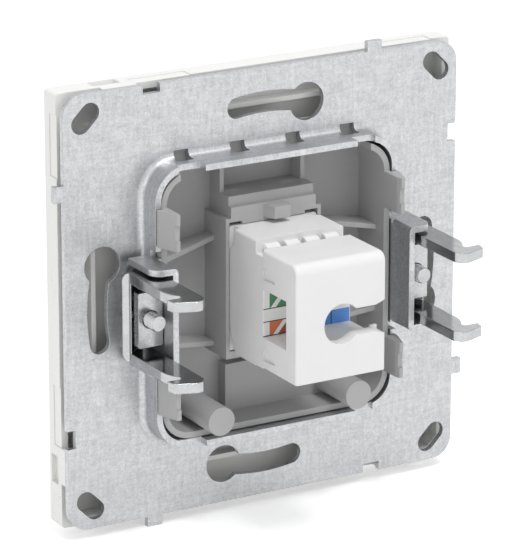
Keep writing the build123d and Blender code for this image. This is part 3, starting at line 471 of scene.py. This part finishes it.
@dataclass(frozen=True)
class BrightZinc:
    """Bright zinc plating, almost a mirror, with soft marks of the tool."""

    name: str = "zinc_claw"
    colour: Colour = (0.50, 0.505, 0.51)
    shade: Colour = (0.41, 0.415, 0.42)
    cloud_mm: float = 3.0
    draw_mm: float = 0.4
    draw_squash: float = 0.1
    roughness: float = 0.13
    relief_mm: float = 0.006
    edge_mm: float = 0.3

    def make(self) -> bpy.types.Material:
        """Builds the material."""
        sheet = MaterialSheet(self.name)
        cloud = sheet.noise(self.cloud_mm, 3.0, 0.6)
        draw = sheet.noise(self.draw_mm, squash=(1.0, self.draw_squash, 1.0))
        tone = cloud * 0.6 + draw * 0.4
        return sheet.surface(
            Base_Color=sheet.blend(tone.spread(0.35, 0.65), self.shade, self.colour),
            Metallic=1.0,
            Roughness=tone.spread(0.3, 0.7, self.roughness + 0.06, self.roughness - 0.05),
            Normal=sheet.relief(draw * 0.6 + cloud * 0.4, self.relief_mm, self.edge_mm),
        )


@dataclass(frozen=True)
class MouldedPlastic:
    """Injection-moulded plastic with a fine sparked texture."""

    name: str
    colour: Colour
    roughness: float = 0.42
    grain_mm: float = 0.22
    grain_depth_mm: float = 0.006
    flow_mm: float = 6.0
    flow_shade: float = 0.975
    edge_mm: float = 0.18

    def make(self) -> bpy.types.Material:
        """Builds the material."""
        sheet = MaterialSheet(self.name)
        grain = sheet.noise(self.grain_mm, 2.0, 0.6)
        flow = sheet.noise(self.flow_mm)
        dark = tuple(part * self.flow_shade for part in self.colour)
        matt = grain * 0.5 + flow * 0.5
        return sheet.surface(
            Base_Color=sheet.blend(flow.spread(0.35, 0.65), dark, self.colour),
            Roughness=matt.spread(0.3, 0.7, self.roughness - 0.05, self.roughness + 0.06),
            Normal=sheet.relief(grain, self.grain_depth_mm, self.edge_mm),
        )


@dataclass(frozen=True)
class ContactPlating:
    """Thin plated spring metal."""

    name: str
    colour: Colour
    shade: float = 0.8
    roughness: float = 0.22
    draw_mm: float = 0.15
    draw_squash: float = 0.15
    relief_mm: float = 0.003
    edge_mm: float = 0.03

    def make(self) -> bpy.types.Material:
        """Builds the material."""
        sheet = MaterialSheet(self.name)
        drawn = sheet.noise(self.draw_mm, squash=(1.0, self.draw_squash, 1.0))
        dark = tuple(part * self.shade for part in self.colour)
        return sheet.surface(
            Base_Color=sheet.blend(drawn, dark, self.colour),
            Metallic=1.0,
            Roughness=drawn.spread(0.3, 0.7, self.roughness, self.roughness + 0.12),
            Normal=sheet.relief(drawn, self.relief_mm, self.edge_mm),
        )


@dataclass(frozen=True)
class SolderMask:
    """Green board lacquer over copper tracks."""

    name: str = "board_green"
    lacquer: Colour = (0.02, 0.16, 0.07)
    track: Colour = (0.04, 0.27, 0.11)
    track_pitch_mm: float = 1.4
    track_span_mm: Span = (0.3, 0.75)
    track_lean: float = 0.35
    relief_mm: float = 0.03
    edge_mm: float = 0.05

    def make(self) -> bpy.types.Material:
        """Builds the material."""
        sheet = MaterialSheet(self.name)
        place = sheet.position()
        across = sheet.component(place, Axis.X)
        up = sheet.component(place, Axis.Z)
        lane = (across + up * self.track_lean).modulo(self.track_pitch_mm * MM)
        track = lane.between(*(edge * MM for edge in self.track_span_mm))
        return sheet.surface(
            Base_Color=sheet.blend(track, self.lacquer, self.track),
            Roughness=sheet.noise(0.5).spread(0.3, 0.7, 0.2, 0.34),
            Normal=sheet.relief(track, self.relief_mm, self.edge_mm),
        )


@dataclass(frozen=True)
class PrintedLabel:
    """White label with two rows of wire colours, ruled off by thin lines."""

    name: str = "label_print"
    paper: Colour = (0.86, 0.86, 0.84)
    ink: Colour = (0.03, 0.03, 0.035)
    green: Colour = (0.075, 0.24, 0.115)
    orange: Colour = (0.66, 0.19, 0.08)
    red_brown: Colour = (0.36, 0.07, 0.04)
    blue: Colour = (0.085, 0.27, 0.72)
    brown: Colour = (0.16, 0.07, 0.03)
    rule_places_mm: Triple = (0.8, -1.3, -3.62)
    rule_mm: float = 0.16
    row_top_mm: float = 3.3
    left_field_mm: Span = (3.3, 6.75)
    right_field_mm: Span = (3.3, 7.75)
    right_rule_mm: Span = (4.3, 4.5)
    stripe_lean: float = 0.85
    upper_stripe_mm: Span = (6.35, 7.35)
    lower_stripe_mm: Span = (2.2, 3.1)
    second_wire_mm: float = 2.6

    def make(self) -> bpy.types.Material:
        """Builds the material."""
        sheet = MaterialSheet(self.name)
        place = sheet.position()
        left = sheet.component(place, Axis.X) / MM
        right = -1.0 * left
        up = sheet.component(place, Axis.Z) / MM
        top_rule, middle_rule, low_rule = self.rule_places_mm
        upper = up.between(top_rule, self.row_top_mm)
        lower = up.between(low_rule, middle_rule)
        on_left = left.between(*self.left_field_mm)
        on_right = right.between(*self.right_field_mm)
        lean = left + up * self.stripe_lean
        upper_stripe = lean.between(*self.upper_stripe_mm)
        lower_stripe = lean.between(*self.lower_stripe_mm)
        colour = sheet.blend(upper * on_left * (1 - upper_stripe), self.paper, self.green)
        second = sheet.blend(lean < self.second_wire_mm, self.orange, self.red_brown)
        colour = sheet.blend(lower * on_left * (1 - lower_stripe), colour, second)
        colour = sheet.blend(lower * on_right, colour, self.blue)
        colour = sheet.blend(upper * on_right, colour, self.brown)
        for rule in self.rule_places_mm:
            line = up.between(rule - self.rule_mm / 2, rule + self.rule_mm / 2)
            colour = sheet.blend(line * (left > self.left_field_mm[0]), colour, self.ink)
        colour = sheet.blend(right.between(*self.right_rule_mm) * lower, colour, self.ink)
        fibre = sheet.noise(0.3)
        return sheet.surface(
            Base_Color=colour,
            Roughness=fibre.spread(0.3, 0.7, 0.4, 0.5),
            Normal=sheet.relief(fibre, 0.002),
        )


@dataclass(frozen=True)
class StudioFloor:
    """Pale floor that stays white in the picture and keeps the shadow."""

    name: str = "studio_floor"
    colour: Colour = (0.93, 0.93, 0.93)
    lift: float = 0.36

    def make(self) -> bpy.types.Material:
        """Builds the material.

        Only the camera, mirrors and glass see the lift, so it lights nothing.
        """
        sheet = MaterialSheet(self.name)
        matt = sheet.node("ShaderNodeBsdfDiffuse", None, {"Color": (*self.colour, 1.0)})
        strength = sheet.in_plain_sight() * self.lift
        glow = sheet.node("ShaderNodeEmission", None, {"Strength": strength})
        sheet.node_to_output(sheet.node("ShaderNodeAddShader", None, {0: matt, 1: glow}))
        return sheet.material


class Wardrobe:
    """Every finish of the socket, each made once."""

    def __init__(self) -> None:
        """Makes the materials."""
        self.sheet = GalvanisedSheet().make()
        self.claw = BrightZinc().make()
        self.fastener = BrightZinc(name="zinc_fastener", roughness=0.26, edge_mm=0.1).make()
        grey, black = (0.40, 0.40, 0.40), (0.02, 0.02, 0.02)
        warm_white, white = (0.80, 0.80, 0.785), (0.775, 0.775, 0.775)
        self.carrier = MouldedPlastic("carrier_grey", grey, 0.45).make()
        self.cover = MouldedPlastic("cover_white", warm_white, 0.3, grain_depth_mm=0.002).make()
        self.jack = MouldedPlastic("jack_white", white, 0.38, grain_depth_mm=0.003).make()
        self.block = MouldedPlastic("contact_black", black, 0.4).make()
        self.gold = ContactPlating("contact_gold", (0.90, 0.62, 0.24)).make()
        self.tin = ContactPlating("contact_tin", (0.76, 0.74, 0.71)).make()
        self.board = SolderMask().make()
        self.label = PrintedLabel().make()


def dress(node: str, material: bpy.types.Material) -> None:
    """Gives a CAD node its finish.

    Args:
        node: the node's name.
        material: the finish.
    """
    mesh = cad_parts[node].data
    mesh.materials.clear()
    mesh.materials.append(material)
    LOG.info("dressed %s with %s", node, material.name)


def merged_copy(node: str) -> bmesh.types.BMesh:
    """Copies a CAD node's mesh and joins its loose triangles.

    Args:
        node: the node's name.

    Returns:
        The copy.
    """
    work = bmesh.new()
    work.from_mesh(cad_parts[node].data)
    bmesh.ops.remove_doubles(work, verts=work.verts[:], dist=WELD_MM * MM)
    return work


def finish_piece(
    name: str, work: bmesh.types.BMesh, material: bpy.types.Material
) -> bpy.types.Object:
    """Makes an object of a finished shape.

    Args:
        name: the piece's name.
        work: its shape, which is freed.
        material: its finish.

    Returns:
        The object, at the origin.
    """
    mesh = bpy.data.meshes.new(name)
    work.to_mesh(mesh)
    work.free()
    mesh.materials.clear()
    mesh.materials.append(material)
    piece = bpy.data.objects.new(name, mesh)
    bpy.context.scene.collection.objects.link(piece)
    LOG.info("made %s with %d faces", name, len(mesh.polygons))
    return piece


# Sub-assemblies

@dataclass
class SupportFrame:
    """The pressed plate and the carrier that clips into it."""

    plate_node: str = "support_plate"
    carrier_node: str = "insert_carrier"

    def build(self, finishes: Wardrobe) -> None:
        """Dresses both pieces.

        Args:
            finishes: the socket's materials.
        """
        dress(self.plate_node, finishes.sheet)
        dress(self.carrier_node, finishes.carrier)


@dataclass
class ClawSet:
    """One side's claw with its nut and threaded screw."""

    hand: Hand
    screw_place_mm: float = 24.1
    thread_r_mm: float = 1.36
    thread_pitch_mm: float = 0.5
    thread_depth_mm: float = 0.2
    thread_front_mm: float = -1.4
    flank_slope: float = 1.5
    crest_share: float = 0.2
    screw_end_mm: float = 9.2
    tip_chamfer_mm: float = 0.3
    tip_share: float = 0.86
    head_rear_mm: float = -1.1
    around: int = 33
    rows_per_turn: int = 9
    seam_mm: float = 0.001

    def build(self, finishes: Wardrobe) -> None:
        """Dresses the set and makes its screw.

        Args:
            finishes: the socket's materials.
        """
        dress(f"claw_{self.hand.word}", finishes.claw)
        dress(f"clamp_nut_{self.hand.word}", finishes.fastener)
        self.make_screw(finishes.fastener)

    def make_screw(self, finish: bpy.types.Material) -> None:
        """Joins the threaded shank to the head of the CAD screw, in the CAD screw's place.

        Args:
            finish: the screw's material.
        """
        node = f"claw_screw_{self.hand.word}"
        work = merged_copy(node)
        limit = (self.head_rear_mm + TOUCH_MM) * MM
        shank = [face for face in work.faces if any(vert.co.y > limit for vert in face.verts)]
        bmesh.ops.delete(work, geom=shank, context="FACES")
        bmesh.ops.holes_fill(work, edges=[edge for edge in work.edges if edge.is_boundary])
        work.from_mesh(self.thread_mesh(finish))
        bmesh.ops.recalc_face_normals(work, faces=work.faces[:])
        piece = finish_piece(f"threaded_screw_{self.hand.word}", work, finish)
        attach(piece, f"screw_{self.hand.word}")
        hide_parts(node)

    def thread_mesh(self, finish: bpy.types.Material) -> bpy.types.Mesh:
        """Rolls a grid into a rod whose surface follows the thread, closed at its seam and ends.

        Args:
            finish: the thread's material.

        Returns:
            The rod's mesh.
        """
        length = self.screw_end_mm - self.thread_front_mm
        sizes = {
            "Place": self.hand.value * self.screw_place_mm * MM,
            "Radius": self.thread_r_mm * MM,
            "Depth": self.thread_depth_mm * MM,
            "Pitch": self.thread_pitch_mm * MM,
            "Front": self.thread_front_mm * MM,
            "Length": length * MM,
        }
        sheet = ShapeSheet(f"thread_{self.hand.word}", sizes)
        rows = round(length / self.thread_pitch_mm * self.rows_per_turn)
        counts = {"Vertices X": self.around, "Vertices Y": rows}
        grid = sheet.node("GeometryNodeMeshGrid", None, {"Size X": 1.0, "Size Y": 1.0, **counts})
        place = sheet.node("GeometryNodeInputPosition")
        turn = sheet.component(place, Axis.X) + 0.5
        share = sheet.component(place, Axis.Y) + 0.5
        along = share * sheet.size("Length")
        phase = (along / sheet.size("Pitch") - turn).modulo(1.0)
        from_crest = (phase * 2 - 1).absolute()
        flank = (from_crest * self.flank_slope - self.crest_share).spread(0, 1)
        to_tip = (1 - share) * sheet.size("Length")
        chamfer = to_tip.spread(0, self.tip_chamfer_mm * MM, self.tip_share, 1)
        threaded = sheet.size("Radius") - flank * sheet.size("Depth")
        is_open = share.between(0.5 / rows, 1 - 0.5 / rows)
        radius = (sheet.size("Radius") * chamfer).smaller(threaded) * is_open
        angle = turn * math.tau
        target = {
            "X": sheet.size("Place") + radius * angle.cosine(),
            "Y": along + sheet.size("Front"),
            "Z": radius * angle.sine(),
        }
        moves = {"Geometry": grid, "Position": sheet.node("ShaderNodeCombineXYZ", None, target)}
        rolled = sheet.node("GeometryNodeSetPosition", None, moves)
        seams = {"Geometry": rolled, "Distance": self.seam_mm * MM}
        sheet.close(sheet.node("GeometryNodeMergeByDistance", None, seams), finish)
        return sheet.mesh()


@dataclass
class DataJack:
    """The white jack with its contacts, board, label and wire cap."""

    contact_count: int = 8

    def build(self, finishes: Wardrobe) -> None:
        """Dresses the jack's pieces.

        Args:
            finishes: the socket's materials.
        """
        for node in ("jack_body", "port_insert", "wire_cap"):
            dress(node, finishes.jack)
        dress("contact_block", finishes.block)
        dress("circuit_board", finishes.board)
        dress("wiring_label", finishes.label)
        for index in range(1, self.contact_count + 1):
            dress(f"contact_spring_{index}", finishes.gold)
            dress(f"wire_contact_{index}", finishes.tin)


@dataclass
class FrontCover:
    """The white cover on the front, with crisper corners and edges than the CAD solid has."""

    node: str = "front_cover"
    half_mm: float = 35.0
    front_mm: float = -6.1
    corner_r_mm: float = 2.0
    edge_r_mm: float = 0.5
    wall_mm: float = 1.3
    grip_floor_mm: float = 34.5
    corner_crispness: float = 0.85
    edge_crispness: float = 0.6
    grow_side_mm: float = 0.5
    grow_front_mm: float = 0.3
    grip_fill_mm: float = 0.38

    def build(self, finishes: Wardrobe) -> None:
        """Makes the cover from the CAD solid's shape.

        Args:
            finishes: the socket's materials.
        """
        work = merged_copy(self.node)
        for vert in work.verts:
            vert.co = self.crisp(vert.co / MM) * MM
        piece = finish_piece("cover_shell", work, finishes.cover)
        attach(piece, "cover")
        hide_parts(self.node)

    def pulled(self, point: Span, centre: Span, share: float) -> Span:
        """Pulls a point of a rounded edge out towards the sharp edge.

        Args:
            point: the point's two coordinates across the edge.
            centre: the centre of the rounding.
            share: 0 leaves the point, 1 puts it on the sharp edge.

        Returns:
            The point's new coordinates.
        """
        over = (point[0] - centre[0], point[1] - centre[1])
        if min(over) <= 0:
            return point
        stretch = 1 + share * (math.hypot(*over) / max(over) - 1)
        return centre[0] + over[0] * stretch, centre[1] + over[1] * stretch

    def crisp(self, place: Vector) -> Vector:
        """Moves one point of the cover.

        Args:
            place: the point, in millimetres.

        Returns:
            Its new place.
        """
        side, depth, height = abs(place.x), -place.y, abs(place.z)
        rounding = self.half_mm - self.corner_r_mm
        side, height = self.pulled((side, height), (rounding, rounding), self.corner_crispness)
        reach = max(side, height)
        edge_centre = (self.half_mm - self.edge_r_mm, -self.front_mm - self.edge_r_mm)
        new_reach, depth = self.pulled((reach, depth), edge_centre, self.edge_crispness)
        growth = new_reach / reach if reach > rounding else 1.0
        is_behind_edge = depth < edge_centre[1] - self.edge_r_mm
        walls = []
        for value in (side * growth, height * growth):
            if value > self.half_mm - self.wall_mm - TOUCH_MM:
                is_grip = is_behind_edge and abs(value - self.grip_floor_mm) < TOUCH_MM
                value += self.grow_side_mm + (self.grip_fill_mm if is_grip else 0.0)
            walls.append(value)
        if depth > edge_centre[1]:
            depth += self.grow_front_mm
        new_side, new_height = walls
        corner = (math.copysign(new_side, place.x), -depth, math.copysign(new_height, place.z))
        return Vector(corner)


@dataclass
class SoftBox:
    """A square area lamp aimed at the socket."""

    name: str
    place_mm: Triple
    size_mm: float
    power: float

    def hang(self) -> None:
        """Makes the lamp."""
        lamp = bpy.data.lights.new(self.name, "AREA")
        lamp.shape = "SQUARE"
        lamp.size = self.size_mm * MM
        lamp.energy = self.power
        holder = bpy.data.objects.new(self.name, lamp)
        holder.location = Vector(self.place_mm) * MM
        holder.rotation_mode = "QUATERNION"
        holder.rotation_quaternion = (-Vector(self.place_mm)).to_track_quat("-Z", "Y")
        bpy.context.scene.collection.objects.link(holder)


@dataclass
class Studio:
    """Floor, backdrop, light and camera."""

    camera_mm: Triple = (298.75, 516.29, 194.76)
    aim_mm: Triple = (1.304, -0.967, 0.580)
    lens_mm: float = 254.22
    sensor_mm: float = 36.0
    near_mm: float = 10.0
    far_mm: float = 20000.0
    floor_side_mm: float = 6000.0
    ambient: float = 0.70
    lamps: tuple[SoftBox, ...] = field(
        default_factory=lambda: (
            SoftBox("top_light", (-40, 250, 640), 240, 2.1),
            SoftBox("rear_light", (-260, 600, 160), 460, 0.15),
            SoftBox("left_light", (460, 160, 160), 380, 0.35),
        )
    )

    def build(self) -> None:
        """Sets the whole studio up."""
        self.lay_floor()
        self.light_world()
        for lamp in self.lamps:
            lamp.hang()
        self.place_camera()

    def lay_floor(self) -> None:
        """Lays the floor under the socket's lowest edge."""
        low, _ = CAD_BOX
        half = self.floor_side_mm * MM / 2
        mesh = bpy.data.meshes.new("floor")
        corners = [(-half, -half), (half, -half), (half, half), (-half, half)]
        mesh.from_pydata([(x, y, low.z) for x, y in corners], [], [(0, 1, 2, 3)])
        mesh.materials.append(StudioFloor().make())
        floor = bpy.data.objects.new("floor", mesh)
        bpy.context.scene.collection.objects.link(floor)

    def light_world(self) -> None:
        """Gives an even ambient light and a white background."""
        world = bpy.data.worlds.new("studio")
        bpy.context.scene.world = world
        world.use_nodes = True
        sheet = NodeSheet(world.node_tree)
        sheet.tree.nodes.clear()
        strength = sheet.in_plain_sight().spread(0, 1, self.ambient, 1)
        sky = {"Color": (1.0, 1.0, 1.0, 1.0), "Strength": strength}
        background = sheet.node("ShaderNodeBackground", None, sky)
        output = sheet.tree.nodes.new("ShaderNodeOutputWorld")
        sheet.tree.links.new(background.socket, output.inputs["Surface"])

    def place_camera(self) -> None:
        """Puts the camera where the photograph was taken from."""
        camera = bpy.data.cameras.new("camera")
        camera.lens = self.lens_mm
        camera.sensor_width = self.sensor_mm
        camera.clip_start = self.near_mm * MM
        camera.clip_end = self.far_mm * MM
        holder = bpy.data.objects.new("camera", camera)
        place = Vector(self.camera_mm)
        holder.location = place * MM
        holder.rotation_mode = "QUATERNION"
        holder.rotation_quaternion = (Vector(self.aim_mm) - place).to_track_quat("-Z", "Y")
        bpy.context.scene.collection.objects.link(holder)
        bpy.context.scene.camera = holder


def main() -> None:
    """Builds the dressed socket and its studio."""
    logging.basicConfig(level=logging.INFO, format="%(name)s: %(message)s")
    bpy.context.scene.view_settings.view_transform = "Standard"
    finishes = Wardrobe()
    SupportFrame().build(finishes)
    for hand in Hand:
        ClawSet(hand).build(finishes)
    DataJack().build(finishes)
    FrontCover().build(finishes)
    Studio().build()


if __name__ == "__main__":
    main()
